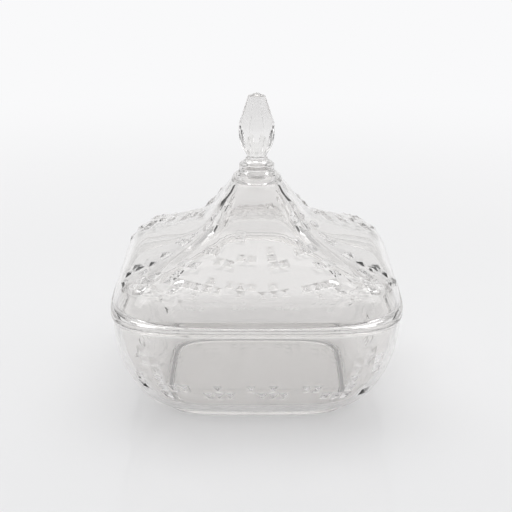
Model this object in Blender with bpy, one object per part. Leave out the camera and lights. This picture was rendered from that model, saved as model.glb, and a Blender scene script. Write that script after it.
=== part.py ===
"""Clear moulded candy box: a square bowl on a low foot, a lid with a swept four-sided roof,
and a faceted drop knob seated in the top of the lid. Metres, +Z up, origin under the middle
of the foot."""
from collections import namedtuple
from dataclasses import dataclass

import bmesh
import bpy
import numpy as np
from mathutils import Matrix

# Driving sizes of the whole box
RIM_HALF_WIDTH = 0.1000     # middle of the box to the outer face of its rim beads
RIM_HEIGHT = 0.0742         # table to the joint between bowl and lid
WALL = 0.0040               # moulded wall of the bowl and the lid
JOINT_GAP = 0.0003          # left between two faces that rest on each other

# Bowl
FOOT_HALF_WIDTH = 0.0650
FOOT_HEIGHT = 0.0032
FOOT_WALL = 0.0045
FOOT_HOLLOW = 0.0022        # depth of the hollow under the floor
FOOT_EDGE = 0.0006          # softened lower edge of the foot
BOWL_BEAD_HEIGHT = 0.0018
BOWL_PLAIN_BAND = 0.0095    # plain stretch between the bead and the studs, along the wall
LID_BEAD_HEIGHT = 0.0026
BEAD_STAND = 0.0010         # how far a rim bead stands out from its wall
BEAD_EDGE = 0.0005

# Lid
ROOF_RISE = 0.0808          # joint to the foot of the knob's seat, along the axis
LIP_DEPTH = 0.0034          # locating lip that hangs inside the bowl's mouth
LIP_WALL = 0.0022
LIP_CLEARANCE = 0.0005      # each side, so that the lid lifts off freely
LIP_BLEND = 0.0040          # height over which the lip thins into the lid's wall
SEAT_RADIUS = 0.0126        # round recess that takes the base of the knob
SEAT_DEPTH = 0.0020
SEAT_EDGE = 0.0006          # thin top edge round the recess
SEAT_FLOOR = 0.0052         # solid crown between the recess and the inside of the lid
SPIGOT_RADIUS = 0.0047
SPIGOT_CLEARANCE = 0.0003

# Knob
KNOB_BASE_RADIUS = 0.0122
KNOB_BASE_HEIGHT = 0.0079   # two flanges with a groove between them
KNOB_GROOVE = 0.0006
KNOB_EDGE = 0.0005
KNOB_RING_RADIUS = 0.0074
KNOB_RING_HEIGHT = 0.0013
KNOB_RING_STEP = 0.0024     # sloping shoulder from the flange up to the small ring
WAIST_RADIUS = 0.0068
WAIST_HEIGHT = 0.0013
DROP_RADIUS = 0.0133        # middle of the drop to its widest corners
DROP_HEIGHT = 0.0439

# Studs: small four-sided pyramids set close together in three-and-one groups
STUD_ROW = 0.0074           # height of one row, measured along the wall
STUD_HEIGHT = 0.0009

# Plain bands below the three courses of studs on the lid, measured up its outer face
LID_FIRST_BAND = 0.0180
LID_SECOND_BAND = 0.0130
LID_THIRD_BAND = 0.0050

# Where the box is cut into cells: columns on one of its four faces
WALL_COLUMNS = 22
ROOF_COLUMNS = 16
NECK_COLUMNS = 10
INNER_COLUMNS = 14
FACES = 4
DROP_FACETS = 8
ROUND_POINTS = 32
BAND_CUT_COUNT = 2          # cuts up a plain band of the lid
CROWN_CUT_COUNT = 3
BELLY_CUT_COUNT = 3         # cuts up the plain underside of the bowl
BOWL_INNER_CUT_COUNT = 8
LID_INNER_CUT_COUNT = 9

# Outer faces. Each row: height share, half-width share, corner tightness, bulge of the sides
BOWL_OUTLINE_shares = (
    (0.051, 0.662, 4.5, 0.0),
    (0.068, 0.698, 4.5, 0.0),
    (0.124, 0.754, 4.6, 0.0),
    (0.218, 0.817, 4.7, 0.0),
    (0.394, 0.893, 4.8, 0.0),
    (0.596, 0.952, 4.8, 0.0),
    (0.798, 0.980, 4.8, 0.0),
    (0.975, 0.990, 4.8, 0.0),
)
LID_OUTLINE_shares = (
    (0.033, 0.990, 4.8, 0.0),
    (0.100, 0.979, 4.8, 0.0),
    (0.200, 0.953, 4.8, 0.0),
    (0.265, 0.923, 5.2, 0.01),
    (0.310, 0.877, 7.5, 0.03),
    (0.355, 0.792, 14.0, 0.05),
    (0.450, 0.611, 30.0, 0.06),
    (0.545, 0.450, 28.0, 0.06),
    (0.625, 0.365, 18.0, 0.06),
    (0.750, 0.289, 9.0, 0.05),
    (0.900, 0.206, 4.2, 0.03),
    (1.000, 0.159, 2.4, 0.01),
)

# The drop: height share, corner radius share
DROP_OUTLINE_shares = ((0.03, 0.58), (0.12, 0.81), (0.20, 0.93), (0.34, 1.00), (0.50, 0.985), (0.93, 0.465),
                       (0.985, 0.18))

# One group of studs is three in a row with a fourth below or above the middle one. The two
# kinds take turns round the box, so their rows are written once and repeated.
TURN_UPPER = "XXX.X."
TURN_LOWER = ".X.XXX"
LID_COURSES = (
    (LID_FIRST_BAND, WALL_COLUMNS,
     (".X" + 3 * TURN_LOWER + "X.", ".X" + 3 * TURN_UPPER + "X.")),
    (LID_SECOND_BAND, ROOF_COLUMNS,
     (".." + 2 * "...XXX" + "..", ".X" + 2 * ".X..X." + "X.", ".X" + 2 * "XXX..." + "X.")),
    (LID_THIRD_BAND, NECK_COLUMNS,
     (".." + "...XXX" + "..", ".X" + ".X..X." + "X.", ".." + "XXX..." + "..")),
)
BOWL_COURSE = (
    ".X" + 3 * TURN_LOWER + "X.",
    "XX" + 3 * TURN_UPPER + "XX",
    "..XXX............XXX..",
    "X..X..............X..X",
    ".XXX..............XXX.",
    "..X................X..",
)

Section = namedtuple("Section", "height half_width corner bulge points")


@dataclass
class Outline:
    """A smooth outer or inner face, from its lower edge to its upper one."""
    arc: np.ndarray
    height: np.ndarray
    half_width: np.ndarray
    corner: np.ndarray
    bulge: np.ndarray

    def section(self, arc, points):
        """The level cut through the face at a distance along it."""
        values = (np.interp(arc, self.arc, row) for row in
                  (self.height, self.half_width, self.corner, self.bulge))
        return Section(*(float(value) for value in values), points)

    def sections(self, start, end, rows, points):
        """Level cuts at even steps, both ends among them."""
        return [self.section(arc, points) for arc in np.linspace(start, end, rows + 1)]

    def inward(self, depth):
        """The face that lies one wall inside this one."""
        run = np.gradient(self.half_width, self.arc)
        rise = np.gradient(self.height, self.arc)
        half_width = self.half_width - depth * rise
        height = self.height + depth * run
        steps = np.hypot(np.diff(half_width), np.diff(height))
        arc = np.concatenate(([0.0], np.cumsum(steps)))
        return Outline(arc, height, half_width, self.corner, self.bulge)

    def arc_at_height(self, height):
        """How far along the face a level lies."""
        return float(np.interp(height, self.height, self.arc))


def outline(shares, base, rise, half_width, steps=24):
    """Runs a smooth curve through a table of shares."""
    knots = np.array(shares) * (rise, half_width, 1.0, 1.0) + (base, 0.0, 0.0, 0.0)
    ends = np.vstack((2 * knots[0] - knots[1], knots, 2 * knots[-1] - knots[-2]))
    rows = []
    for before, start, end, after in zip(ends, ends[1:], ends[2:], ends[3:]):
        for t in np.arange(steps) / steps:
            curve = start + t * (end - start)
            turn = 2 * before - 5 * start + 4 * end - after + t * (3 * (start - end) + after - before)
            curve[:2] = (start + (end - before + t * turn) * t / 2)[:2]
            rows.append(curve)
    rows.append(knots[-1])
    height, width, corner, bulge = np.array(rows).T
    arc = np.concatenate(([0.0], np.cumsum(np.hypot(np.diff(height), np.diff(width)))))
    return Outline(arc, height, width, corner, bulge)


def face_points(section, samples=360, halvings=44):
    """One face of a level cut, corner to corner, cut into even lengths."""
    angle = np.linspace(np.pi / 4, 3 * np.pi / 4, samples + 1)
    across, along = np.abs(np.cos(angle)), np.sin(angle)
    near, far = np.full(angle.shape, 0.5), np.full(angle.shape, 1.5)
    for _ in range(halvings):
        middle = (near + far) / 2
        x, y = middle * across, middle * along
        size = (x + section.bulge * y * y) ** section.corner + (y + section.bulge * x * x) ** section.corner
        near = np.where(size < 1, middle, near)
        far = np.where(size < 1, far, middle)
    x = section.half_width * near * np.cos(angle)
    y = section.half_width * near * np.sin(angle)
    length = np.concatenate(([0.0], np.cumsum(np.hypot(np.diff(x), np.diff(y)))))
    stops = np.linspace(0.0, length[-1], section.points // FACES + 1)[:-1]
    return np.interp(stops, length, x), np.interp(stops, length, y)


def square_ring(bm, section):
    """The points of a level cut, in order round the box from one corner."""
    x, y = face_points(section)
    ring = []
    for _ in range(FACES):
        ring += [bm.verts.new((px, py, section.height)) for px, py in zip(x, y)]
        x, y = -y, x
    return ring


def join_rings(bm, lower, upper):
    """Closes the strip between two rings, which may hold unlike numbers of points."""
    i = j = 0
    while i < len(lower) or j < len(upper):
        lead = (2 * i + 1) * len(upper) - (2 * j + 1) * len(lower)
        corners = [lower[i % len(lower)]]
        if lead <= 0:
            i += 1
            corners.append(lower[i % len(lower)])
        corners.append(upper[(j + 1) % len(upper)] if lead >= 0 else upper[j % len(upper)])
        if lead >= 0:
            corners.append(upper[j % len(upper)])
            j += 1
        bm.faces.new(corners)


def join_stack(bm, rings):
    """Closes the strips up a stack of rings."""
    for lower, upper in zip(rings, rings[1:]):
        join_rings(bm, lower, upper)


def cap_ends(bm, rings):
    """Closes a stack of rings at both ends and gives the upper cap."""
    bm.faces.new(rings[0][::-1])
    return bm.faces.new(rings[-1])


def cell(rings, row, column):
    """The face between two neighbouring cuts, in one column."""
    lower, upper = rings[row], rings[row + 1]
    beside = (column + 1) % len(lower)
    corners = {lower[column], lower[beside], upper[column], upper[beside]}
    return next(face for face in lower[column].link_faces if set(face.verts) == corners)


def stud_cells(rings, first_row, patterns):
    """The faces marked X in a course, whose rows are written for one face of the box."""
    faces = []
    for step, pattern in enumerate(patterns):
        for column, mark in enumerate(pattern * FACES):
            if mark == "X":
                faces.append(cell(rings, first_row + step, column))
    return faces


def raise_studs(bm, faces):
    """Turns chosen faces into low four-sided pyramids."""
    bm.normal_update()
    bmesh.ops.poke(bm, faces=faces, offset=STUD_HEIGHT)


def finish(bm, name, material, sharp_degrees=24.0):
    """Turns a finished bmesh into a named object with its material."""
    mesh = bpy.data.meshes.new(name)
    bm.to_mesh(mesh)
    bm.free()
    mesh.shade_smooth()
    mesh.set_sharp_from_angle(angle=np.radians(sharp_degrees))
    mesh.materials.append(material)
    piece = bpy.data.objects.new(name, mesh)
    bpy.context.scene.collection.objects.link(piece)
    return piece


def clear_plastic(name, tint, roughness):
    """Clear moulded acrylic."""
    material = bpy.data.materials.new(name)
    material.use_nodes = True
    shader = material.node_tree.nodes["Principled BSDF"]
    shader.inputs["Base Color"].default_value = (*tint, 1.0)
    shader.inputs["Metallic"].default_value = 0.0
    shader.inputs["Roughness"].default_value = roughness
    shader.inputs["IOR"].default_value = 1.49
    shader.inputs["Transmission Weight"].default_value = 1.0
    return material


def square_cut(height, half_width, columns, corner=BOWL_OUTLINE_shares[-1][2]):
    """A level cut with the rim's own corners."""
    return Section(height, half_width, corner, 0.0, columns * FACES)


def round_cut(height, radius, points=ROUND_POINTS):
    """A round level cut."""
    return Section(height, radius, 2.0, 0.0, points)


def build_bowl(material):
    """The bowl: foot ring, studded outer face, rim bead, smooth inside and floor."""
    outer = outline(BOWL_OUTLINE_shares, 0.0, RIM_HEIGHT, RIM_HALF_WIDTH)
    rim = RIM_HEIGHT - JOINT_GAP / 2
    columns = WALL_COLUMNS
    foot_corner = BOWL_OUTLINE_shares[0][2]
    wall_width = outer.half_width[-1]

    foot = [square_cut(FOOT_HOLLOW, FOOT_HALF_WIDTH - FOOT_WALL, INNER_COLUMNS, foot_corner),
            square_cut(0.0, FOOT_HALF_WIDTH - FOOT_WALL + FOOT_EDGE, INNER_COLUMNS, foot_corner),
            square_cut(0.0, FOOT_HALF_WIDTH - FOOT_EDGE, INNER_COLUMNS, foot_corner),
            square_cut(FOOT_EDGE, FOOT_HALF_WIDTH, columns, foot_corner),
            square_cut(FOOT_HEIGHT, FOOT_HALF_WIDTH, columns, foot_corner)]

    bead_base = rim - BOWL_BEAD_HEIGHT
    top = outer.arc_at_height(bead_base)
    course_top = top - BOWL_PLAIN_BAND
    course_base = course_top - STUD_ROW * len(BOWL_COURSE)
    below = outer.sections(0.0, course_base, BELLY_CUT_COUNT, columns * FACES)
    course = outer.sections(course_base, course_top, len(BOWL_COURSE), columns * FACES)
    bead = [square_cut(bead_base, wall_width, columns),
            square_cut(bead_base + BEAD_EDGE, wall_width + BEAD_STAND, columns),
            square_cut(rim - BEAD_EDGE, wall_width + BEAD_STAND, columns),
            square_cut(rim, wall_width + BEAD_STAND - BEAD_EDGE, columns)]

    inner = outer.inward(WALL)
    mouth = square_cut(rim, wall_width - WALL, INNER_COLUMNS)
    inside = inner.sections(0.0, inner.arc_at_height(bead_base), BOWL_INNER_CUT_COUNT, INNER_COLUMNS * FACES)

    bm = bmesh.new()
    rings = [square_ring(bm, cut) for cut in foot + below + course[1:] + bead + [mouth] + inside[::-1]]
    join_stack(bm, rings)
    cap_ends(bm, rings)
    raise_studs(bm, stud_cells(rings, len(foot) + len(below) - 1, BOWL_COURSE))
    return finish(bm, "bowl", material)


def lid_rows(outer):
    """The lid's outer cuts with its stud courses, and where each course starts."""
    cuts = [outer.section(0.0, WALL_COLUMNS * FACES)]
    starts = []
    reached = 0.0
    for band, columns, patterns in LID_COURSES:
        base = reached + band
        reached = base + STUD_ROW * len(patterns)
        cuts += outer.sections(base - band, base, BAND_CUT_COUNT, columns * FACES)[1:]
        starts.append(len(cuts) - 1)
        cuts += outer.sections(base, reached, len(patterns), columns * FACES)[1:]
    cuts += outer.sections(reached, outer.arc[-1], CROWN_CUT_COUNT, NECK_COLUMNS * FACES)[1:]
    return cuts, starts


def build_lid(material):
    """The lid: rim bead, studded wall and roof, seat for the knob, hollow inside, lip."""
    outer = outline(LID_OUTLINE_shares, RIM_HEIGHT, ROOF_RISE, RIM_HALF_WIDTH)
    seam = RIM_HEIGHT + JOINT_GAP / 2
    columns = WALL_COLUMNS
    wall_width = outer.half_width[0]
    roof, course_rows = lid_rows(outer)

    bead_top = seam + LID_BEAD_HEIGHT
    bead = [square_cut(seam, wall_width + BEAD_STAND - BEAD_EDGE, columns),
            square_cut(seam + BEAD_EDGE, wall_width + BEAD_STAND, columns),
            square_cut(bead_top - BEAD_EDGE, wall_width + BEAD_STAND, columns)]

    seat_floor = RIM_HEIGHT + ROOF_RISE
    seat = [round_cut(seat_floor + SEAT_DEPTH, SEAT_RADIUS + SEAT_EDGE),
            round_cut(seat_floor + SEAT_DEPTH, SEAT_RADIUS),
            round_cut(seat_floor, SEAT_RADIUS),
            round_cut(seat_floor, SPIGOT_RADIUS + SPIGOT_CLEARANCE)]

    inner = outer.inward(WALL)
    ceiling = seat_floor - SEAT_FLOOR
    crown = inner.arc_at_height(ceiling)
    lip_blend = seam + LIP_BLEND
    inside = inner.sections(inner.arc_at_height(lip_blend), crown, LID_INNER_CUT_COUNT, INNER_COLUMNS * FACES)
    hollow = [round_cut(ceiling, SPIGOT_RADIUS + SPIGOT_CLEARANCE)] + inside[::-1]

    lip_width = wall_width - WALL - LIP_CLEARANCE
    lip = [square_cut(seam, lip_width - LIP_WALL, INNER_COLUMNS),
           square_cut(seam - LIP_DEPTH, lip_width - LIP_WALL, INNER_COLUMNS),
           square_cut(seam - LIP_DEPTH, lip_width, INNER_COLUMNS),
           square_cut(seam, lip_width, INNER_COLUMNS)]

    bm = bmesh.new()
    rings = [square_ring(bm, cut) for cut in bead + roof + seat + hollow + lip]
    join_stack(bm, rings)
    join_rings(bm, rings[-1], rings[0])
    studs = []
    for start, (_, _, patterns) in zip(course_rows, LID_COURSES):
        studs += stud_cells(rings, len(bead) + start, patterns)
    raise_studs(bm, studs)
    return finish(bm, "lid", material)


def knob_cuts():
    """Heights and radii of the knob's round base, from the end of its spigot up."""
    seat = RIM_HEIGHT + ROOF_RISE
    base = seat + JOINT_GAP
    groove = base + KNOB_BASE_HEIGHT / 2
    shoulder = base + KNOB_BASE_HEIGHT
    ring = shoulder + KNOB_RING_STEP
    waist = ring + KNOB_RING_HEIGHT + WAIST_HEIGHT
    radius = KNOB_BASE_RADIUS
    cuts = [(seat - SEAT_FLOOR, SPIGOT_RADIUS), (base, SPIGOT_RADIUS),
            (base, radius - KNOB_EDGE), (base + KNOB_EDGE, radius),
            (groove - KNOB_GROOVE, radius), (groove, radius - KNOB_GROOVE), (groove + KNOB_GROOVE, radius),
            (shoulder - KNOB_EDGE, radius), (shoulder, radius - KNOB_EDGE),
            (ring, KNOB_RING_RADIUS), (ring + KNOB_RING_HEIGHT, KNOB_RING_RADIUS),
            (waist, WAIST_RADIUS)]
    return cuts, waist


def round_ring(bm, radius, height, points):
    """The points of a round or many-sided ring, with a side to the front."""
    turn = np.pi / DROP_FACETS
    made = bmesh.ops.create_circle(bm, segments=points, radius=radius,
                                   matrix=Matrix.Translation((0.0, 0.0, height)) @ Matrix.Rotation(turn, 4, "Z"))
    return made["verts"]


def build_knob(material):
    """The knob: spigot, two flanges, small ring, waist and an eight-sided drop."""
    cuts, waist = knob_cuts()
    bm = bmesh.new()
    rings = [round_ring(bm, radius, height, ROUND_POINTS) for height, radius in cuts]
    for height_share, radius_share in DROP_OUTLINE_shares:
        height = waist + DROP_HEIGHT * height_share
        rings.append(round_ring(bm, DROP_RADIUS * radius_share, height, DROP_FACETS))
    join_stack(bm, rings)
    crown = cap_ends(bm, rings)
    bm.normal_update()
    bmesh.ops.poke(bm, faces=[crown], offset=DROP_HEIGHT * (1.0 - DROP_OUTLINE_shares[-1][0]))
    return finish(bm, "knob", material)


def main():
    """Clears the scene and builds the three pieces."""
    for old in list(bpy.data.objects):
        bpy.data.objects.remove(old, do_unlink=True)
    bowl_material = clear_plastic("clear_acrylic_bowl", (0.96, 0.97, 0.97), 0.03)
    lid_material = clear_plastic("clear_acrylic_lid", (0.96, 0.97, 0.97), 0.03)
    knob_material = clear_plastic("clear_acrylic_knob", (0.97, 0.97, 0.98), 0.02)
    build_bowl(bowl_material)
    lid = build_lid(lid_material)
    knob = build_knob(knob_material)
    knob.parent = lid


main()
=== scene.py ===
"""Visual model of a clear moulded candy box: a studded square bowl on a low foot, a lid with a
swept four-sided roof, and a faceted drop knob, all in clear acrylic on a pale studio floor.

Lengths are metres, +Z is up, and the origin lies under the middle of the foot, as in the
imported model."""

import logging
import math
from dataclasses import dataclass, replace
from enum import Enum
from typing import Any, Sequence

import bmesh
import bpy
import numpy as np
from bmesh.types import BMEdge, BMesh, BMFace, BMVert
from bpy.types import Material, Node, NodeSocket, NodeTree, Object
from mathutils import Matrix, Vector

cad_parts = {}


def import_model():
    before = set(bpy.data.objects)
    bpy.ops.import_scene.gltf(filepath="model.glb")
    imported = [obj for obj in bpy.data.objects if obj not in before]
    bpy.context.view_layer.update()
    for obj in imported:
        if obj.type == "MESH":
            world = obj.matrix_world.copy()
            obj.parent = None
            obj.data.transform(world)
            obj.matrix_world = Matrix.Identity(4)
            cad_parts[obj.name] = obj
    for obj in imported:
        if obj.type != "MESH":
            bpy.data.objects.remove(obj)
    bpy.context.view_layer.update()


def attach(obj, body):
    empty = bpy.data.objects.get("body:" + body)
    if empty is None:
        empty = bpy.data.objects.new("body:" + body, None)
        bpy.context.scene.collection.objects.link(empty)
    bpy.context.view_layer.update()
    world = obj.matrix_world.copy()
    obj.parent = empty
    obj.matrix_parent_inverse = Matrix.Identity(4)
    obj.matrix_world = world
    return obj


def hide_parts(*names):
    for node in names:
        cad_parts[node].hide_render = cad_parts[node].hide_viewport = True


LOG = logging.getLogger("candy_box")
MM = 0.001
SIDES = 4
POINTS = 88             # points along one of the four sides, in every level cut
SIDE_SAMPLES = 720      # steps in which a side of a level cut is measured
HALVINGS = 44           # halvings of the search for each of those
CRISPEST = 1 / 60       # least corner softness that is drawn
ROUND = 0.5             # corner softness of a round level cut
JUST_UNDER = 1e-9       # keeps the last point of a wall inside its last cell
Row = tuple[float, ...]
Place = tuple[float, float, float]


class Slot(Enum):
    """The record's material slots."""
    BOWL = "clear_acrylic_bowl"
    LID = "clear_acrylic_lid"
    KNOB = "clear_acrylic_knob"


class Body(Enum):
    """The bodies that the joint parts."""
    BOWL = "bowl_body"
    LID = "lid_body"


def srgb(colour: str) -> tuple[float, float, float, float]:
    """Turns a colour written as sRGB hex into linear values.

    Args:
        colour: Six hex digits after a hash sign.

    Returns:
        Linear red, green and blue, with a full alpha.
    """
    steps = [int(colour[place:place + 2], 16) / 255 for place in (1, 3, 5)]
    red, green, blue = (step / 12.92 if step <= 0.04045 else ((step + 0.055) / 1.055) ** 2.4
                        for step in steps)
    return red, green, blue, 1.0


@dataclass(frozen=True)
class LevelCut:
    """One level cut through a wall of the box.

    The softness of its corners runs from 0, four crisp corners, to 0.5, a circle.
    """
    height: float
    half_width: float
    softness: float
    bulge: float = 0.0

    def side_points(self, shares: np.ndarray) -> tuple[np.ndarray, np.ndarray]:
        """Finds points along the side that starts at the corner between +X and +Y.

        Args:
            shares: How far along the side each point lies, from 0 to 1.

        Returns:
            The points' x and y.
        """
        angle = np.linspace(math.pi / 4, 3 * math.pi / 4, SIDE_SAMPLES + 1)
        across, along = np.abs(np.cos(angle)), np.sin(angle)
        tight = 1 / max(self.softness, CRISPEST)
        # every point lies between 0.5 and 1.5 half-widths from the middle
        near, far = np.full(angle.shape, 0.5), np.full(angle.shape, 1.5)
        for _ in range(HALVINGS):
            middle = (near + far) / 2
            x, y = middle * across, middle * along
            size = (x + self.bulge * y * y) ** tight + (y + self.bulge * x * x) ** tight
            near = np.where(size < 1, middle, near)
            far = np.where(size < 1, far, middle)
        x = self.half_width * near * np.cos(angle)
        y = self.half_width * near * np.sin(angle)
        length = np.concatenate(([0.0], np.cumsum(np.hypot(np.diff(x), np.diff(y)))))
        stops = shares * length[-1]
        return np.interp(stops, length, x), np.interp(stops, length, y)


@dataclass(frozen=True)
class Layout:
    """How the points along a side are shared out among its columns of studs."""
    columns: int
    end_points: int         # points in each of the two end columns, next to the corners

    @property
    def column_points(self) -> int:
        """Points across each column between the two end ones."""
        return (POINTS - 2 * self.end_points) // (self.columns - 2)

    def first_point(self, column: int) -> int:
        """The point at which a column starts, or the side's end for one past the last."""
        inner = self.end_points + (column - 1) * self.column_points
        return {0: 0, self.columns: POINTS}.get(column, inner)

    def shares(self) -> np.ndarray:
        """Spreads the points along a side.

        Returns:
            How far along the side each point lies, from 0 to just under 1.
        """
        edge = 1 / self.columns
        marks = (0, self.end_points, POINTS - self.end_points, POINTS)
        return np.interp(range(POINTS), marks, (0.0, edge, 1 - edge, 1.0))


WALL_LAYOUT = Layout(columns=22, end_points=4)
ROOF_LAYOUT = Layout(columns=16, end_points=9)
NECK_LAYOUT = Layout(columns=10, end_points=8)


@dataclass(frozen=True)
class Course:
    """A band of studs: the plain band below it, its layout, and its rows from the lowest up.

    The rows climb towards the corners of the box, by the given height there. The left and right
    sides keep their studs only in the columns marked for them, if any are.
    """
    plain_band: float
    layout: Layout
    rows: tuple[str, ...]
    climb: float = 0.0
    side_columns: str = ""

    def marked(self, marks: str) -> list[int]:
        """Finds the columns with a stud in one row, counted all round the box.

        Args:
            marks: The row's marks along one side, with an X for each stud.

        Returns:
            The columns' numbers.
        """
        kept = self.side_columns or "X" * self.layout.columns
        masked = "".join(mark if keep == "X" else "." for mark, keep in zip(marks, kept))
        all_round = (marks + masked) * (SIDES // 2)
        return [column for column, mark in enumerate(all_round) if mark == "X"]


@dataclass
class Outline:
    """A smooth profile of the box from its lower edge to its upper one.

    Each row of the table holds height, half-width, corner softness and bulge.
    """
    arc: np.ndarray
    table: np.ndarray

    @classmethod
    def through(cls, knots: np.ndarray, steps: int = 40) -> "Outline":
        """Runs a smooth curve through a table of knots.

        Args:
            knots: One row for each knot: height, half-width, softness, bulge.
            steps: How many pieces each span between two knots is cut into.

        Returns:
            The outline.
        """
        ends = np.vstack((2 * knots[0] - knots[1], knots, 2 * knots[-1] - knots[-2]))
        rows = []
        for before, start, end, after in zip(ends, ends[1:], ends[2:], ends[3:]):
            for t in np.arange(steps) / steps:
                turn = (2 * before - 5 * start + 4 * end - after
                        + t * (3 * (start - end) + after - before))
                rows.append(start + (end - before + t * turn) * t / 2)
        rows.append(knots[-1])
        table = np.array(rows)
        table[:, 3] = np.maximum(table[:, 3], 0.0)
        return cls(cls.lengths(table), table)

    @staticmethod
    def lengths(table: np.ndarray) -> np.ndarray:
        """How far along the profile each row of a table lies."""
        steps = np.hypot(np.diff(table[:, 0]), np.diff(table[:, 1]))
        return np.concatenate(([0.0], np.cumsum(steps)))

    def cut(self, arc: float) -> LevelCut:
        """The level cut at a distance along the profile."""
        return LevelCut(*(float(np.interp(arc, self.arc, row)) for row in self.table.T))

    def cuts(self, start: float, end: float, steps: int) -> list[LevelCut]:
        """Level cuts at even steps, both ends among them."""
        return [self.cut(arc) for arc in np.linspace(start, end, steps + 1)]

    def arc_at(self, height: float) -> float:
        """How far along the profile a height lies."""
        return float(np.interp(height, self.table[:, 0], self.arc))

    def inward(self, depth: float, softest: float = 0.0) -> "Outline":
        """The profile that lies one wall inside this one.

        Args:
            depth: The wall's thickness.
            softest: The least softness of its corners.

        Returns:
            The inner profile.
        """
        table = self.table.copy()
        table[:, 1] -= depth * np.gradient(self.table[:, 0], self.arc)
        table[:, 0] += depth * np.gradient(self.table[:, 1], self.arc)
        table[:, 2] = np.maximum(table[:, 2], softest)
        return Outline(self.lengths(table), table)


@dataclass
class Wall:
    """Points all over one side of an outline, for rows that climb towards the corners."""
    reach: float
    points: np.ndarray

    @classmethod
    def over(cls, outline: Outline, rows: int = 240, columns: int = 4 * POINTS) -> "Wall":
        """Measures one side of an outline.

        Args:
            outline: The profile of the box.
            rows: How many steps it is measured in, from its lower edge to its upper one.
            columns: How many steps it is measured in, from corner to corner.

        Returns:
            The wall.
        """
        shares = np.linspace(0.0, 1.0, columns + 1)
        lines = []
        for cut in outline.cuts(0.0, float(outline.arc[-1]), rows):
            x, y = cut.side_points(shares)
            lines.append(np.stack((x, y, np.full(x.shape, cut.height)), axis=-1))
        return cls(float(outline.arc[-1]), np.array(lines))

    def at(self, arcs: np.ndarray, shares: np.ndarray) -> np.ndarray:
        """Finds points on the wall.

        Args:
            arcs: How far up the wall each point lies.
            shares: How far along the side it lies, from 0 to 1.

        Returns:
            The points, one to a row.
        """
        rows, columns = self.points.shape[0] - 1, self.points.shape[1] - 1
        row = np.clip(arcs / self.reach * rows, 0, rows - JUST_UNDER)
        column = np.clip(shares * columns, 0, columns - JUST_UNDER)
        i, j = row.astype(int), column.astype(int)
        up, along = (row - i)[:, None], (column - j)[:, None]
        near = self.points[i, j] * (1 - along) + self.points[i, j + 1] * along
        far = self.points[i + 1, j] * (1 - along) + self.points[i + 1, j + 1] * along
        return near * (1 - up) + far * up


def corner_arc(width: float, height: float, radius: float, start: float, end: float,
               steps: int = 4) -> list[tuple[float, float]]:
    """Points round a small moulded radius.

    Args:
        width: Half-width at which the radius has its centre.
        height: Height of that centre.
        radius: The radius.
        start: Angle at which it starts, in degrees from outwards towards up.
        end: Angle at which it ends.
        steps: How many pieces it is cut into.

    Returns:
        Pairs of half-width and height.
    """
    angles = np.radians(np.linspace(start, end, steps + 1))
    return [(width + radius * math.cos(a), height + radius * math.sin(a)) for a in angles]


def ring_edges(bm: BMesh, ring: Sequence[BMVert]) -> list[BMEdge]:
    """The edges round a closed ring of points."""
    return [bm.edges.get(pair) for pair in zip(ring, [*ring[1:], ring[0]])]


def next_ring(bm: BMesh, last: Sequence[BMVert]) -> list[BMVert]:
    """Extrudes a ring of points.

    Args:
        bm: The mesh.
        last: The ring.

    Returns:
        The new ring's points, in the same order.
    """
    made = bmesh.ops.extrude_edge_only(bm, edges=ring_edges(bm, last))["geom"]
    fresh = {item for item in made if isinstance(item, BMVert)}
    return [next(edge.other_vert(vert) for edge in vert.link_edges
                 if edge.other_vert(vert) in fresh) for vert in last]


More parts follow.
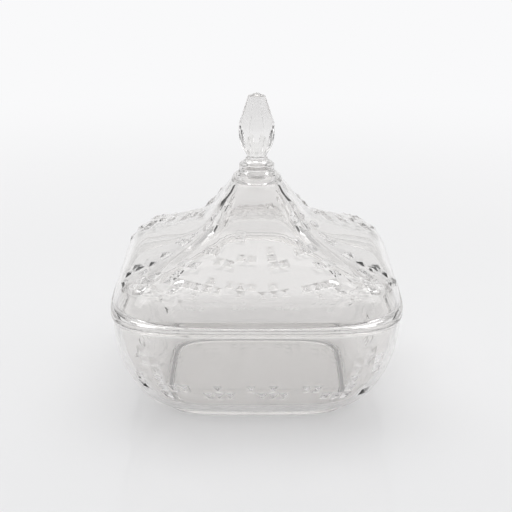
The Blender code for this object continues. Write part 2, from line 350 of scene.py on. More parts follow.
class Shell:
    """A wall that is drawn out ring by ring from its first level cut."""
    row_cuts = 4                        # level cuts to one row of studs
    level_share = 0.2                   # share of a side over which a climbing row is nearly level
    straight = math.radians(150.0)      # base edges of a stud that meet at more than this run on

    def __init__(self) -> None:
        """Starts an empty shell."""
        self.bm: BMesh = bmesh.new()
        self.rings: list[list[BMVert]] = []
        self.studs: list[tuple[int, int, Layout]] = []

    def draw_ring(self, x: np.ndarray, y: np.ndarray, z: np.ndarray) -> None:
        """Draws the wall on by one ring, which starts as a circle if it is the first.

        Args:
            x: The x of one side's points, which are then turned onto all four sides.
            y: Their y.
            z: Their height.
        """
        if self.rings:
            ring = next_ring(self.bm, self.rings[-1])
        else:
            ring = bmesh.ops.create_circle(self.bm, segments=SIDES * POINTS, radius=1.0)["verts"]
        self.rings.append(ring)
        for side in range(SIDES):
            for vert, *point in zip(ring[side * POINTS:], x, y, z):
                vert.co = point
            x, y = -y, x

    def draw(self, cuts: Sequence[LevelCut]) -> None:
        """Draws the wall on through a run of level cuts.

        Args:
            cuts: The cuts, in order.
        """
        for cut in cuts:
            x, y = cut.side_points(WALL_LAYOUT.shares())
            self.draw_ring(x, y, np.full(x.shape, cut.height))

    def draw_steps(self, steps: Sequence[tuple[float, float]], softness: float) -> None:
        """Draws the wall on through pairs of half-width and height."""
        self.draw([LevelCut(height, width, softness) for width, height in steps])

    def draw_run(self, wall: Wall, arcs: Sequence[float], start: Course, end: Course) -> None:
        """Draws the wall on between two bands of studs, or within one.

        Args:
            wall: The measured wall.
            arcs: How far up it each ring lies in the middle of a side.
            start: The band whose layout and climb the run starts with.
            end: The band whose layout and climb it ends with.
        """
        level = self.level_share
        for step, arc in enumerate(arcs, 1):
            blend = step / len(arcs)
            shares = (1 - blend) * start.layout.shares() + blend * end.layout.shares()
            climb = (1 - blend) * start.climb + blend * end.climb
            off_middle = np.hypot(2 * shares - 1, level)
            lift = climb * (off_middle - level) / (math.hypot(1.0, level) - level)
            self.draw_ring(*wall.at(arc + lift, shares).T)

    def draw_course(self, wall: Wall, start: float, course: Course, row_height: float) -> float:
        """Draws the wall on through a band of studs and notes where they stand.

        Args:
            wall: The measured wall that carries them.
            start: How far up it the lowest row starts.
            course: The band.
            row_height: Height of one row along the wall.

        Returns:
            How far up the wall the band ends.
        """
        first = len(self.rings) - 1
        end = start + row_height * len(course.rows)
        arcs = np.linspace(start, end, self.row_cuts * len(course.rows) + 1)[1:]
        self.draw_run(wall, arcs, course, course)
        for row, marks in enumerate(course.rows):
            self.studs += [(first + row * self.row_cuts, column, course.layout)
                           for column in course.marked(marks)]
        return end

    def cap(self) -> None:
        """Closes the last ring with a flat face."""
        bmesh.ops.edgeloop_fill(self.bm, edges=ring_edges(self.bm, self.rings[-1]))

    def cell(self, ring: int, column: int, layout: Layout) -> list[BMFace]:
        """Finds the faces under one stud.

        Args:
            ring: The ring at its lower edge.
            column: Its column, counted all round the box.
            layout: The layout of its band.

        Returns:
            The faces.
        """
        side, within = divmod(column, layout.columns)
        first, last = (side * POINTS + layout.first_point(end) for end in (within, within + 1))
        faces = []
        for row in range(ring, ring + self.row_cuts):
            for point in range(first, last):
                corner = self.rings[row][point]
                across = self.rings[row + 1][(point + 1) % (SIDES * POINTS)]
                faces += set(corner.link_faces) & set(across.link_faces)
        return faces

    def raise_studs(self, margin: float, height: float) -> None:
        """Turns the marked cells into low four-sided pyramids with crisp edges.

        Cells that touch are dissolved in two goes, like the squares of a chessboard, so that
        they don't run together.

        Args:
            margin: Plain border left round each.
            height: How far each point stands out.
        """
        bmesh.ops.recalc_face_normals(self.bm, faces=self.bm.faces[:])
        blocks: list[BMFace] = []
        for parity in (0, 1):
            loose = []
            for ring, column, layout in self.studs:
                if (ring // self.row_cuts + column) % 2 == parity:
                    loose += self.cell(ring, column, layout)
            blocks += bmesh.ops.dissolve_faces(self.bm, faces=loose)["region"]
        self.bm.normal_update()
        bmesh.ops.inset_individual(self.bm, faces=blocks, thickness=margin, use_even_offset=True)
        for apex in bmesh.ops.poke(self.bm, faces=blocks, offset=height)["verts"]:
            self.crisp_pyramid(apex)

    def crisp_pyramid(self, apex: BMVert) -> None:
        """Marks the four ridges and the base of a stud as crisp edges.

        Args:
            apex: The stud's point.
        """
        for ridge in apex.link_edges:
            foot = ridge.other_vert(apex)
            beside = [vert for face in ridge.link_faces for vert in face.verts
                      if vert not in (apex, foot)]
            turn = (beside[0].co - foot.co).angle(beside[1].co - foot.co)
            ridge.smooth = turn > self.straight
            for edge in foot.link_edges:
                if edge.other_vert(foot) in beside:
                    edge.smooth = False


def finished_piece(bm: BMesh, name: str, material: Material) -> Object:
    """Turns a finished bmesh into a named piece with smooth faces.

    Args:
        bm: The mesh, which is freed.
        name: The piece's name.
        material: What it is made of.

    Returns:
        The piece, linked to the scene.
    """
    bmesh.ops.recalc_face_normals(bm, faces=bm.faces[:])
    for face in bm.faces:
        face.smooth = True
    mesh = bpy.data.meshes.new(name)
    bm.to_mesh(mesh)
    bm.free()
    mesh.materials.append(material)
    piece = bpy.data.objects.new(name, mesh)
    bpy.context.scene.collection.objects.link(piece)
    LOG.info("%s: %d faces", name, len(mesh.polygons))
    return piece


def add_node(tree: NodeTree, kind: str, inputs: dict[str | int, Any] | None = None,
             **settings: Any) -> Node:
    """Adds a node with its settings, values and links.

    Args:
        tree: The node tree.
        kind: The node's type name.
        inputs: Socket name or number to a plain value or to another node's output.
        settings: The node's own properties.

    Returns:
        The node.
    """
    node = tree.nodes.new(kind)
    for name, value in settings.items():
        setattr(node, name, value)
    for name, value in (inputs or {}).items():
        socket = node.inputs[name]
        if isinstance(value, NodeSocket):
            tree.links.new(value, socket)
        else:
            socket.default_value = value
    return node


@dataclass(frozen=True)
class MouldedAcrylic:
    """Clear acrylic, injection moulded in a polished steel tool.

    It is as clear as water and highly glossy. The melt leaves slow waves a centimetre or two long
    in the surface, which bend what shows through it, and handling leaves patches that are a
    little less polished.
    """
    slot: Slot
    tint: str = "#F5F4F3"
    roughness: float = 0.002
    worn_roughness: float = 0.02
    ior: float = 1.49
    wave_length: float = 14 * MM
    wave_depth: float = 0.012 * MM
    patch_size: float = 35 * MM
    patch_edges: tuple[float, float] = (0.45, 0.75)     # noise values from polished to worn
    shadow_tint: str = "#FBFBFB"    # the lamps' light reaches the floor through the clear walls

    def make(self) -> Material:
        """Builds the material.

        Returns:
            The material, named for its slot.
        """
        material = bpy.data.materials.new(self.slot.value)
        material.use_nodes = True
        tree = material.node_tree
        shader = tree.nodes["Principled BSDF"]
        shader.inputs["Base Color"].default_value = srgb(self.tint)
        shader.inputs["IOR"].default_value = self.ior
        shader.inputs["Transmission Weight"].default_value = 1.0
        place = add_node(tree, "ShaderNodeTexCoord").outputs["Object"]
        waves = add_node(tree, "ShaderNodeTexNoise", {
            "Vector": place, "Scale": 1 / self.wave_length, "Detail": 1.0, "Roughness": 0.4})
        bump = add_node(tree, "ShaderNodeBump", {
            "Height": waves.outputs["Fac"], "Distance": self.wave_depth, "Strength": 1.0})
        tree.links.new(bump.outputs["Normal"], shader.inputs["Normal"])
        patches = add_node(tree, "ShaderNodeTexNoise", {
            "Vector": place, "Scale": 1 / self.patch_size, "Detail": 3.0, "Roughness": 0.6})
        polish = add_node(tree, "ShaderNodeMapRange", {
            "Value": patches.outputs["Fac"],
            "From Min": self.patch_edges[0], "From Max": self.patch_edges[1],
            "To Min": self.roughness, "To Max": self.worn_roughness})
        tree.links.new(polish.outputs["Result"], shader.inputs["Roughness"])
        light = add_node(tree, "ShaderNodeLightPath").outputs["Is Shadow Ray"]
        clear = add_node(tree, "ShaderNodeBsdfTransparent", {"Color": srgb(self.shadow_tint)})
        mixed = add_node(tree, "ShaderNodeMixShader", {
            0: light, 1: shader.outputs["BSDF"], 2: clear.outputs["BSDF"]})
        tree.links.new(mixed.outputs["Shader"], tree.nodes["Material Output"].inputs["Surface"])
        return material


@dataclass
class Box:
    """Sizes that the bowl and the lid share."""
    half_width: float = 100 * MM
    rim_height: float = 74.2 * MM
    wall: float = 4 * MM
    joint_gap: float = 0.3 * MM
    bead_stand: float = 1.0 * MM
    bead_radius: float = 0.45 * MM
    rim_softness: float = 1 / 4.8
    stud_row: float = 7.4 * MM
    stud_height: float = 1.6 * MM
    stud_margin: float = 0.2 * MM

    @property
    def wall_width(self) -> float:
        """Half-width of the plain wall just behind the rim beads."""
        return self.half_width - self.bead_stand


@dataclass
class Bowl:
    """The square bowl: foot ring, studded bulging wall, rim bead, smooth inside."""
    box: Box
    foot_half_width: float = 65 * MM
    foot_height: float = 3.2 * MM
    foot_wall: float = 4.5 * MM
    foot_hollow: float = 2.2 * MM
    foot_radius: float = 0.6 * MM
    bead_height: float = 1.8 * MM
    plain_band: float = 9.5 * MM
    floor_blend: float = 3.0 * MM
    floor_steps: Row = (0.7, 0.4, 0.15)     # shares of the blend, from the wall to the floor
    low_cuts: int = 12          # level cuts between the foot and the studs
    high_cuts: int = 5          # level cuts between the studs and the bead
    inner_cuts: int = 36
    outline_shares: tuple[Row, ...] = (
        (0.051, 0.662, 4.5), (0.068, 0.698, 4.5), (0.124, 0.754, 4.6), (0.218, 0.817, 4.7),
        (0.394, 0.893, 4.8), (0.596, 0.952, 4.8), (0.798, 0.980, 4.8), (0.975, 0.990, 4.8))
    rows: tuple[str, ...] = (
        "..X...XXX..XXX...XXX.X",
        "X.XXX..X..X.X..XX..X..",
        "X.X................X..",
        "..X................X.X",
        ".XX................XXX",
        ".X..................X.")
    side_columns: str = ".....XXXXXXXXXXXX....."

    def outline(self) -> Outline:
        """Works out the outer profile.

        Returns:
            The profile from the foot to the bead.
        """
        knots = [(share * self.box.rim_height, width * self.box.half_width, 1 / tight, 0.0)
                 for share, width, tight in self.outline_shares]
        return Outline.through(np.array(knots))

    def build(self, material: Material) -> Object:
        """Models the bowl.

        Args:
            material: Its acrylic.

        Returns:
            The piece.
        """
        box, outer = self.box, self.outline()
        rim = box.rim_height - box.joint_gap / 2
        foot_soft = 1 / self.outline_shares[0][2]
        width, radius = self.foot_half_width, self.foot_radius
        hollow_width = width - self.foot_wall
        shell = Shell()
        shell.draw_steps([(hollow_width - 6 * radius, self.foot_hollow)], foot_soft)
        shell.cap()
        shell.draw_steps(
            corner_arc(hollow_width - radius, self.foot_hollow - radius, radius, 90, 20)
            + corner_arc(hollow_width + 2 * radius, radius, radius, 200, 270)
            + corner_arc(width - radius, radius, radius, 270, 360)
            + [(width, self.foot_height - radius / 2)], foot_soft)
        self.draw_outer(shell, outer, rim)
        self.draw_inner(shell, outer, rim)
        shell.cap()
        shell.raise_studs(box.stud_margin, box.stud_height)
        return finished_piece(shell.bm, "bowl_shell", material)

    def draw_outer(self, shell: Shell, outer: Outline, rim: float) -> None:
        """Draws the studded outside and the rim bead.

        Args:
            shell: The shell so far.
            outer: The outer profile.
            rim: Height of the rim.
        """
        box, face, radius = self.box, self.box.half_width, self.box.bead_radius
        low = rim - self.bead_height
        top = outer.arc_at(low)
        studs_end = top - self.plain_band
        studs_start = studs_end - box.stud_row * len(self.rows)
        band = Course(0.0, WALL_LAYOUT, self.rows, side_columns=self.side_columns)
        shell.draw(outer.cuts(0.0, studs_start, self.low_cuts))
        shell.draw_course(Wall.over(outer), studs_start, band, box.stud_row)
        shell.draw(outer.cuts(studs_end, top, self.high_cuts)[1:])
        shell.draw_steps([(box.wall_width + radius / 2, low)]
                         + corner_arc(face - radius, low + radius, radius, 270, 360)
                         + corner_arc(face - radius, rim - radius, radius, 0, 90),
                         box.rim_softness)

    def draw_inner(self, shell: Shell, outer: Outline, rim: float) -> None:
        """Draws the mouth's edge, the smooth inside and the floor.

        Args:
            shell: The shell so far.
            outer: The outer profile.
            rim: Height of the rim.
        """
        box, radius, blend = self.box, self.box.bead_radius, self.floor_blend
        inner = outer.inward(box.wall)
        mouth = box.wall_width - box.wall
        shell.draw_steps([(mouth + 2 * radius, rim)]
                         + corner_arc(mouth + radius, rim - radius, radius, 90, 180),
                         box.rim_softness)
        top = inner.arc_at(rim - self.bead_height)
        shell.draw(inner.cuts(blend, top, self.inner_cuts)[::-1])
        floor, low = inner.cut(0.0), inner.cut(blend)
        edge = floor.half_width - blend
        steps = [(edge + step * (low.half_width - floor.half_width + blend),
                  floor.height + step * step * (low.height - floor.height))
                 for step in self.floor_steps]
        steps += [(edge, floor.height), (floor.half_width - 2 * blend, floor.height)]
        shell.draw_steps(steps, floor.softness)


@dataclass
class Lid:
    """The lid: rim bead, studded wall and roof, neck, seat for the knob, locating lip."""
    box: Box
    roof_rise: float = 80.8 * MM
    bead_height: float = 2.6 * MM
    lip_depth: float = 3.4 * MM
    lip_wall: float = 2.2 * MM
    lip_clearance: float = 0.5 * MM
    lip_blend: float = 4.0 * MM
    lip_radius: float = 0.4 * MM
    seat_radius: float = 12.6 * MM
    seat_depth: float = 2.0 * MM
    seat_edge: float = 0.6 * MM
    seat_floor: float = 5.2 * MM
    seat_web: float = 1.7 * MM
    pocket_radius: float = 11.8 * MM
    hole_radius: float = 6.9 * MM
    band_cuts: int = 4          # level cuts in the plain band below each course of studs
    crown_cuts: int = 16        # level cuts between the highest course and the seat
    inner_cuts: int = 48
    inner_softness: float = 1 / 5
    outline_shares: tuple[Row, ...] = (
        (0.033, 0.990, 4.8, 0.0), (0.100, 0.979, 4.8, 0.0), (0.200, 0.953, 4.8, 0.0),
        (0.265, 0.923, 5.2, 0.01), (0.310, 0.877, 7.5, 0.03), (0.355, 0.792, 14.0, 0.05),
        (0.450, 0.611, 30.0, 0.06), (0.545, 0.450, 28.0, 0.06), (0.625, 0.365, 18.0, 0.06),
        (0.750, 0.289, 9.0, 0.05), (0.900, 0.206, 4.2, 0.03), (1.000, 0.159, 2.4, 0.01))
    courses: tuple[Course, ...] = (
        Course(3.2 * MM, WALL_LAYOUT, (
            "X.X.X..............X.X",
            "X..X.X..........X.X..X",
            "X.XXXXXX.X.XXX.XXXX.X.",
            "..X...X.XXX.X......X.."), 18.6 * MM, "XXXXX............XXXXX"),
        Course(5.6 * MM, ROOF_LAYOUT, (
            ".XX..........XX.",
            "....XX...XX.....",
            "..XX..XX.X..XXX.",
            "...X.....X...X.."), 14 * MM, "XXXX........XXXX"),
        Course(5 * MM, NECK_LAYOUT, (
            "X..X.....X",
            ".X.......X",
            "X........."), 9 * MM))

    @property
    def seat_height(self) -> float:
        """Height of the seat's floor above the table."""
        return self.box.rim_height + self.roof_rise

    def outline(self) -> Outline:
        """Works out the outer profile.

        Returns:
            The profile from the bead to the seat.
        """
        knots = [(self.box.rim_height + share * self.roof_rise, width * self.box.half_width,
                  1 / tight, bulge) for share, width, tight, bulge in self.outline_shares]
        return Outline.through(np.array(knots))

    def build(self, material: Material) -> Object:
        """Models the lid.

        Args:
            material: Its acrylic.

        Returns:
            The piece.
        """
        box, outer = self.box, self.outline()
        seam = box.rim_height + box.joint_gap / 2
        face, radius, soft = box.half_width, box.bead_radius, box.rim_softness
        top = seam + self.bead_height
        shell = Shell()
        shell.draw_steps(corner_arc(face - radius, seam + radius, radius, 270, 360)
                         + corner_arc(face - radius, top - radius, radius, 0, 90)
                         + [(box.wall_width + radius / 3, top)], soft)
        self.draw_outer(shell, outer)
        self.draw_seat(shell)
        self.draw_inner(shell, outer, seam)
        shell.draw_steps([(face - radius, seam)], soft)
        ends = shell.rings[0] + shell.rings[-1]
        bmesh.ops.remove_doubles(shell.bm, verts=ends, dist=radius / 1000)
        shell.raise_studs(box.stud_margin, box.stud_height)
        return finished_piece(shell.bm, "lid_shell", material)

    def draw_outer(self, shell: Shell, outer: Outline) -> None:
        """Draws the outside with its three courses of studs.

        Args:
            shell: The shell so far.
            outer: The outer profile.
        """
        wall = Wall.over(outer)
        last = edge = Course(0.0, WALL_LAYOUT, ())
        reached = 0.0
        shell.draw_run(wall, [reached], edge, edge)
        for course in self.courses:
            base = reached + course.plain_band
            arcs = np.linspace(reached, base, self.band_cuts + 1)[1:]
            shell.draw_run(wall, arcs, last, course)
            reached = shell.draw_course(wall, base, course, self.box.stud_row)
            last = course
        arcs = np.linspace(reached, wall.reach, self.crown_cuts + 1)[1:]
        shell.draw_run(wall, arcs, last, edge)

    def draw_seat(self, shell: Shell) -> None:
        """Draws the round recess under the knob and the hole for its spigot.

        Args:
            shell: The shell so far.
        """
        floor, edge = self.seat_height, self.seat_edge
        top, radius = floor + self.seat_depth, edge / 3
        seat, hole = self.seat_radius, self.hole_radius
        shell.draw_steps(corner_arc(seat + edge - radius, top - radius, radius, 30, 90)
                         + corner_arc(seat + radius, top - radius, radius, 90, 180)
                         + [(seat, floor + radius), (seat - radius, floor),
                            (hole + radius, floor), (hole, floor - radius),
                            (hole, floor - self.seat_web + radius)], ROUND)

    def draw_inner(self, shell: Shell, outer: Outline, seam: float) -> None:
        """Draws the pocket under the seat, the inside and the locating lip.

        Args:
            shell: The shell so far.
            outer: The outer profile.
            seam: Height of the lid's lower edge on the rim.
        """
        box, radius, pocket = self.box, self.lip_radius, self.pocket_radius
        inner = outer.inward(box.wall, self.inner_softness)
        ceiling, web = self.seat_height - self.seat_floor, self.seat_height - self.seat_web
        crown = inner.arc_at(ceiling)
        cone = inner.cut(crown)
        shell.draw_steps([(self.hole_radius + radius, web), (pocket - radius, web)]
                         + corner_arc(pocket + radius, ceiling + radius, radius, 180, 270),
                         ROUND)
        shell.draw([replace(cone, half_width=cone.half_width - inset)
                    for inset in (3 * radius, radius)])
        low = inner.arc_at(seam + self.lip_blend)
        shell.draw(inner.cuts(low, crown - radius, self.inner_cuts)[::-1])
        outside = box.wall_width - box.wall - self.lip_clearance
        inside = outside - self.lip_wall
        bottom = seam - self.lip_depth
        shell.draw_steps([(inside, seam), (inside, bottom + radius)]
                         + corner_arc(inside + radius, bottom + radius, radius, 180, 270)
                         + corner_arc(outside - radius, bottom + radius, radius, 270, 360)
                         + [(outside, seam - radius), (outside, seam), (outside + radius, seam)],
                         box.rim_softness)


@dataclass
class Knob:
    """The knob: spigot, two flanges, small ring, waist and an eight-sided drop."""
    seat: float
    gap: float = 0.3 * MM
    spigot_radius: float = 6.6 * MM
    spigot_depth: float = 4.2 * MM
    base_radius: float = 12.2 * MM
    base_height: float = 7.9 * MM
    groove: float = 0.6 * MM
    edge: float = 0.7 * MM
    ring_radius: float = 7.4 * MM
    ring_height: float = 1.3 * MM
    ring_step: float = 2.4 * MM
    waist_radius: float = 6.8 * MM
    waist_height: float = 1.3 * MM
    drop_radius: float = 13.3 * MM
    drop_height: float = 43.9 * MM
    facets: int = 8
    facet_points: int = 12
    edge_points: int = 3        # points across half of a narrow flat
    stand: float = 0.2 * MM     # a narrow flat's middle stands out by this times its last share
    # shares of the drop's height and radius, share of a wide flat cut off at each end, and stand
    drop_shares: tuple[Row, ...] = (
        (0.03, 0.58, 0.30, -2.0), (0.09, 0.745, 0.32, -3.5), (0.16, 0.875, 0.335, -4.5),
        (0.23, 0.945, 0.345, -4.0), (0.30, 0.983, 0.245, -2.0), (0.36, 1.0, 0.12, 0.0),
        (0.395, 1.0, 0.05, 1.5), (0.50, 0.985, 0.05, 1.5), (0.95, 0.455, 0.07, 1.5),
        (0.985, 0.18, 0.10, 0.0))
    crisp_levels: tuple[int, ...] = (2, 8, 9)   # rows of drop_shares with a crisp edge round them

    def turned_part(self) -> list[tuple[float, float]]:
        """Lists the turned part from the spigot's end to the waist.

        Returns:
            Pairs of radius and height.
        """
        base = self.seat + self.gap
        groove = base + self.base_height / 2
        shoulder = base + self.base_height
        ring = shoulder + self.ring_step
        ring_top = ring + self.ring_height
        radius, edge = self.base_radius, self.edge
        half, half_ring = self.groove / 2, self.ring_height / 2
        spigot, spigot_end = self.spigot_radius, self.seat - self.spigot_depth
        return ([(spigot - half, spigot_end), (spigot, spigot_end + half),
                 (spigot, base - half), (spigot + half, base)]
                + corner_arc(radius - edge, base + edge, edge, 270, 360)
                + corner_arc(radius - edge, groove - edge, edge, 0, 60)
                + [(radius - self.groove, groove)]
                + corner_arc(radius - edge, groove + edge, edge, 300, 360)
                + corner_arc(radius - 2 * edge, shoulder - 2 * edge, 2 * edge, 0, 75)
                + [(self.ring_radius + edge, ring - edge / 2), (self.ring_radius + half, ring)]
                + corner_arc(self.ring_radius - half, ring + half_ring, half_ring, 300, 420)
                + [(self.waist_radius, ring_top + self.waist_height / 2),
                   (self.waist_radius, ring_top + self.waist_height)])

    def build(self, material: Material) -> Object:
        """Models the knob.

        Args:
            material: Its acrylic.

        Returns:
            The piece.
        """
        bm = bmesh.new()
        points = self.facets * self.facet_points
        steps = self.turned_part()
        ring = bmesh.ops.create_circle(bm, segments=points, radius=1.0)["verts"]
        bmesh.ops.edgeloop_fill(bm, edges=bm.edges[:])
        self.turn(ring, *steps[0])
        for radius, height in steps[1:]:
            ring = next_ring(bm, ring)
            self.turn(ring, radius, height)
        waist = steps[-1][1]
        crisp: list[BMEdge] = []
        flat_ends = (self.edge_points, self.facet_points - self.edge_points)
        corners = [i for i in range(points) if i % self.facet_points in flat_ends]
        for level, (height, radius, cut, out) in enumerate(self.drop_shares):
            below, ring = ring, next_ring(bm, ring)
            self.facet(ring, self.drop_radius * radius, waist + self.drop_height * height, cut,
                       self.stand * out)
            crisp += [bm.edges.get((below[i], ring[i])) for i in corners]
            if level in self.crisp_levels:
                crisp += ring_edges(bm, ring)
        crown = bmesh.ops.edgeloop_fill(bm, edges=ring_edges(bm, ring))["faces"]
        bm.normal_update()
        tip = bmesh.ops.poke(bm, faces=crown)["verts"][0]
        tip.co.z = waist + self.drop_height
        crisp += [bm.edges.get((tip, ring[i])) for i in corners]
        for edge in crisp:
            edge.smooth = False
        return finished_piece(bm, "knob_drop", material)

    def turn(self, ring: Sequence[BMVert], radius: float, height: float) -> None:
        """Moves a ring's points onto a circle.

        Args:
            ring: The points.
            radius: The circle's radius.
            height: Where it lies.
        """
        step = 2 * math.pi / len(ring)
        for place, vert in enumerate(ring):
            angle = step * (place + self.facet_points / 2)
            vert.co = (radius * math.cos(angle), radius * math.sin(angle), height)

    def facet(self, ring: Sequence[BMVert], radius: float, height: float, cut: float,
              out: float) -> None:
        """Moves a ring's points onto the drop's eight flats and the narrower ones between them.

        Args:
            ring: The points.
            radius: How far the sharp corners between the wide flats would stand out.
            height: Where the ring lies.
            cut: Share of each wide flat that is cut off at each end.
            out: How far the middle of each narrower flat stands out.
        """
        step = 2 * math.pi / self.facets
        corners = [Vector((math.cos(angle), math.sin(angle), 0.0)) * radius
                   for angle in (step * (facet + 0.5) for facet in range(-1, self.facets + 2))]
        stops = (0, self.edge_points, self.facet_points - self.edge_points, self.facet_points)
        for facet in range(self.facets):
            before, start, end, after = corners[facet:facet + 4]
            near, far = start.lerp(end, cut), end.lerp(start, cut)
            marks = [(near + start.lerp(before, cut)) / 2, near, far,
                     (far + end.lerp(after, cut)) / 2]
            for place in range(self.facet_points):
                x, y = (float(np.interp(place, stops, [mark[axis] for mark in marks]))
                        for axis in (0, 1))
                corner = start if place < self.facet_points / 2 else end
                off_middle = min(1.0, min(place, self.facet_points - place) / self.edge_points)
                bow = corner * (out * (1 - off_middle ** 2) / radius)
                vert = ring[facet * self.facet_points + place]
                vert.co = (x + bow.x, y + bow.y, height)


@dataclass(frozen=True)
class Softbox:
    """A soft lamp: where its middle hangs, its width and height, and its power in watts."""
    name: str
    place: Place
    size: tuple[float, float]
    power: float


@dataclass
class Studio:
    """A pale floor, soft lamps, a surround and the camera."""
    rim_height: float
    distance: float = 0.9
    elevation: float = 19.47        # degrees above level, as in the photograph
    aim: Place = (-0.5 * MM, 0.0, 94.2 * MM)
    lens: float = 88.0              # millimetres, as the sensor's width is
    sensor_width: float = 36.0
    floor_radius: float = 6.0
    floor_colour: str = "#E9E9EA"
    floor_roughness: float = 0.1
    far_colour: str = "#F9F9FA"
    near_floor: float = 0.12        # the lit floor starts to fade into the plain background here
    far_floor: float = 1.1
    lamps: tuple[Softbox, ...] = (
        Softbox("softbox_top", (0.0, 0.3, 1.5), (1.8, 1.4), 6.6),
        Softbox("softbox_left", (-1.2, -0.5, 0.9), (0.5, 0.8), 2.6),
        Softbox("softbox_right", (1.2, -0.3, 0.9), (0.5, 0.8), 2.3))
    lamp_aim: Place = (0.0, 0.0, 0.1)
    # what the clear walls bend and reflect, from level at 0 to straight up at 1
    back_wall: tuple[tuple[float, str], ...] = (
        (0.0, "#F2F2F2"), (0.42, "#F0F0F0"), (0.48, "#D0D0D0"), (0.56, "#D0D0D0"),
        (0.64, "#BCBCBC"), (0.70, "#BCBCBC"), (0.78, "#FFFFFF"))
    front_wall: tuple[tuple[float, str], ...] = (
        (0.0, "#606060"), (0.42, "#606060"), (0.48, "#E6E6E6"), (0.58, "#E6E6E6"),
        (0.64, "#A8A8A8"), (0.70, "#A8A8A8"), (0.78, "#FFFFFF"))
    wall_blend: float = 0.3         # how far to each side of the box the two walls run together
    gap_colour: str = "#484848"
    gap_edges: tuple[float, float] = (0.48, 0.492)      # of a measure that is 0.5 in a corner
    # a gap fades in just above the floor and out again higher up
    gap_heights: tuple[tuple[float, float], ...] = ((-0.02, 0.01), (0.50, 0.42))
    light_bounces: int = 32         # light crosses ten clear faces and glances inside the studs

    def build(self) -> None:
        """Sets up the floor, the lamps, the surround and the camera."""
        self.make_floor()
        self.make_lamps()
        self.make_world()
        self.make_camera()
        scene = bpy.context.scene
        scene.view_settings.view_transform = "Standard"
        scene.cycles.max_bounces = self.light_bounces
        scene.cycles.transmission_bounces = self.light_bounces
        scene.cycles.glossy_bounces = self.light_bounces

    def make_floor(self) -> None:
        """Lays a wide satin floor that fades into an even pale background with distance."""
        bm = bmesh.new()
        bmesh.ops.create_circle(bm, cap_ends=True, segments=64, radius=self.floor_radius)
        mesh = bpy.data.meshes.new("studio_floor")
        bm.to_mesh(mesh)
        bm.free()
        floor = bpy.data.objects.new("studio_floor", mesh)
        bpy.context.scene.collection.objects.link(floor)
        mesh.materials.append(self.floor_material())

    def floor_material(self) -> Material:
        """Builds painted board, satin, with a plain glow that takes over far from the box.

        Returns:
            The floor's material.
        """
        material = bpy.data.materials.new("painted_studio_floor")
        material.use_nodes = True
        tree = material.node_tree
        shader = tree.nodes["Principled BSDF"]
        shader.inputs["Base Color"].default_value = srgb(self.floor_colour)
        shader.inputs["Roughness"].default_value = self.floor_roughness
        place = add_node(tree, "ShaderNodeTexCoord").outputs["Object"]
        reach = add_node(tree, "ShaderNodeVectorMath", {0: place}, operation="LENGTH")
        fade = add_node(tree, "ShaderNodeMapRange", {
            "Value": reach.outputs["Value"],
            "From Min": self.near_floor, "From Max": self.far_floor},
            interpolation_type="SMOOTHSTEP")
        plain = add_node(tree, "ShaderNodeEmission", {"Color": srgb(self.far_colour)})
        share = add_node(tree, "ShaderNodeMath", {
            0: fade.outputs["Result"], 1: self.seen_rays(tree)}, operation="MULTIPLY")
        mixed = add_node(tree, "ShaderNodeMixShader", {
            0: share.outputs["Value"], 1: shader.outputs["BSDF"], 2: plain.outputs["Emission"]})
        tree.links.new(mixed.outputs["Shader"], tree.nodes["Material Output"].inputs["Surface"])
        return material

    @staticmethod
    def seen_rays(tree: NodeTree) -> NodeSocket:
        """Tells rays that show the floor from rays that light something by it.

        Args:
            tree: The floor's node tree.

        Returns:
            1 for rays of the camera, of gloss and of clear plastic, and 0 for others.
        """
        rays = add_node(tree, "ShaderNodeLightPath").outputs
        seen = rays["Is Camera Ray"]
        for kind in ("Is Glossy Ray", "Is Transmission Ray"):
            seen = add_node(tree, "ShaderNodeMath", {0: seen, 1: rays[kind]},
                            operation="MAXIMUM").outputs["Value"]
        return seen

    @staticmethod
    def hang(thing: Object, place: Place, aim: Place) -> None:
        """Puts a lamp or the camera in its place and turns it to what it faces.

        Args:
            thing: The lamp or the camera.
            place: Where it hangs.
            aim: What it faces.
        """
        turn = (Vector(aim) - Vector(place)).to_track_quat("-Z", "Y").to_matrix().to_4x4()
        thing.matrix_world = Matrix.Translation(place) @ turn
        bpy.context.scene.collection.objects.link(thing)

    def make_lamps(self) -> None:
        """Hangs a wide softbox overhead and a narrower one on each side."""
        for lamp in self.lamps:
            light = bpy.data.lights.new(lamp.name, "AREA")
            light.shape = "RECTANGLE"
            light.size, light.size_y = lamp.size
            light.energy = lamp.power
            self.hang(bpy.data.objects.new(lamp.name, light), lamp.place, self.lamp_aim)

    def make_world(self) -> None:
        """Gives a surround, pale behind the box, darker behind the camera, white overhead."""
        world = bpy.data.worlds.new("studio_surround")
        bpy.context.scene.world = world
        world.use_nodes = True
        tree = world.node_tree
        direction = add_node(tree, "ShaderNodeTexCoord").outputs["Generated"]
        axes = add_node(tree, "ShaderNodeSeparateXYZ", {"Vector": direction}).outputs
        back = self.ramp(tree, axes["Z"], self.back_wall)
        front = self.ramp(tree, axes["Z"], self.front_wall)
        behind = add_node(tree, "ShaderNodeMapRange", {
            "Value": axes["Y"], "From Min": -self.wall_blend, "From Max": self.wall_blend},
            interpolation_type="SMOOTHSTEP").outputs["Result"]
        walls = self.mix(tree, behind, front, back)
        gaps = self.mix(tree, self.corner_gaps(tree, axes), walls, srgb(self.gap_colour))
        camera = add_node(tree, "ShaderNodeLightPath").outputs["Is Camera Ray"]
        seen = self.mix(tree, camera, gaps, srgb(self.far_colour))
        tree.links.new(seen, tree.nodes["Background"].inputs["Color"])

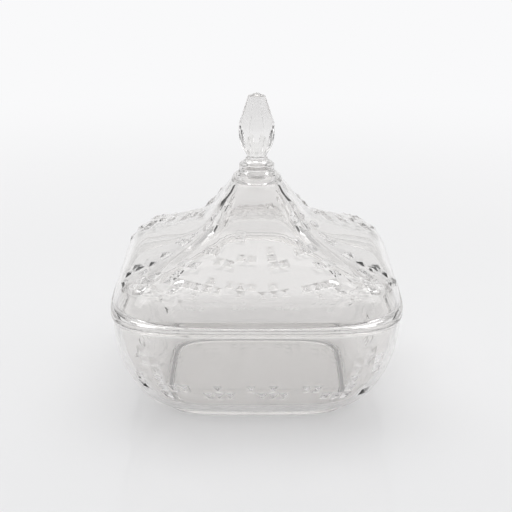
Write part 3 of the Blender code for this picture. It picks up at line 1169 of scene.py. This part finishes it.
    @staticmethod
    def ramp(tree: NodeTree, value: NodeSocket,
             stops: Sequence[tuple[float, str]]) -> NodeSocket:
        """Colours a value by a ramp of stops.

        Args:
            tree: The node tree.
            value: What is coloured, from 0 to 1.
            stops: Pairs of value and sRGB hex colour, from the lowest up.

        Returns:
            The colour.
        """
        node = add_node(tree, "ShaderNodeValToRGB", {"Fac": value})
        elements = node.color_ramp.elements
        for element, (position, colour) in zip(elements, (stops[0], stops[-1])):
            element.position, element.color = position, srgb(colour)
        for position, colour in stops[1:-1]:
            elements.new(position).color = srgb(colour)
        return node.outputs["Color"]

    @staticmethod
    def mix(tree: NodeTree, share: NodeSocket, first: Any, second: Any) -> NodeSocket:
        """Mixes two colours.

        Args:
            tree: The node tree.
            share: How much of the second colour is taken.
            first: A linear colour or another node's output.
            second: The other one, in either form.

        Returns:
            The mixed colour.
        """
        # sockets 6 and 7 take the colours and 2 gives one: the names are shared with other kinds
        return add_node(tree, "ShaderNodeMix", {"Factor": share, 6: first, 7: second},
                        data_type="RGBA").outputs[2]

    def corner_gaps(self, tree: NodeTree, axes: Any) -> NodeSocket:
        """Finds the dark gaps between the walls of the studio, at its four corners.

        Args:
            tree: The surround's node tree.
            axes: The outputs X, Y and Z of a direction.

        Returns:
            1 inside a gap and 0 outside.
        """
        across = add_node(tree, "ShaderNodeMath", {0: axes["X"], 1: axes["Y"]},
                          operation="MULTIPLY").outputs["Value"]
        steep = add_node(tree, "ShaderNodeMath", {0: axes["Z"], 1: axes["Z"]},
                         operation="MULTIPLY").outputs["Value"]
        level = add_node(tree, "ShaderNodeMath", {0: 1.0, 1: steep},
                         operation="SUBTRACT").outputs["Value"]
        diagonal = add_node(tree, "ShaderNodeMath", {0: across, 1: level},
                            operation="DIVIDE").outputs["Value"]
        diagonal = add_node(tree, "ShaderNodeMath", {0: diagonal},
                            operation="ABSOLUTE").outputs["Value"]
        share = add_node(tree, "ShaderNodeMapRange", {
            "Value": diagonal, "From Min": self.gap_edges[0], "From Max": self.gap_edges[1]},
            interpolation_type="SMOOTHSTEP").outputs["Result"]
        for start, end in self.gap_heights:
            reach = add_node(tree, "ShaderNodeMapRange", {
                "Value": axes["Z"], "From Min": start, "From Max": end})
            share = add_node(tree, "ShaderNodeMath", {0: share, 1: reach.outputs["Result"]},
                             operation="MULTIPLY").outputs["Value"]
        return share

    def make_camera(self) -> None:
        """Sets the camera at the photograph's angle and distance."""
        camera = bpy.data.objects.new("camera", bpy.data.cameras.new("camera"))
        camera.data.lens = self.lens
        camera.data.sensor_width = self.sensor_width
        tilt = math.radians(self.elevation)
        back, up = self.distance * math.cos(tilt), self.distance * math.sin(tilt)
        self.hang(camera, (0.0, -back, self.rim_height + up), self.aim)
        bpy.context.scene.camera = camera


def dress(piece: Object, body: Body, node: str) -> None:
    """Hands a piece to the frame.

    Args:
        piece: The piece.
        body: The body it rides on.
        node: The node it stands for.
    """
    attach(piece, body.value)
    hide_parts(node)
    LOG.info("%s rides on %s in place of %s", piece.name, body.value, node)


def main() -> None:
    """Loads the frame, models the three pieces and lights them."""
    logging.basicConfig(level=logging.INFO, format="%(message)s")
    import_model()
    box = Box()
    lid = Lid(box)
    knob = Knob(lid.seat_height)
    finishes = {slot: MouldedAcrylic(slot).make() for slot in Slot}
    dress(Bowl(box).build(finishes[Slot.BOWL]), Body.BOWL, "bowl")
    dress(lid.build(finishes[Slot.LID]), Body.LID, "lid")
    dress(knob.build(finishes[Slot.KNOB]), Body.LID, "knob")
    Studio(box.rim_height).build()


if __name__ == "__main__":
    main()
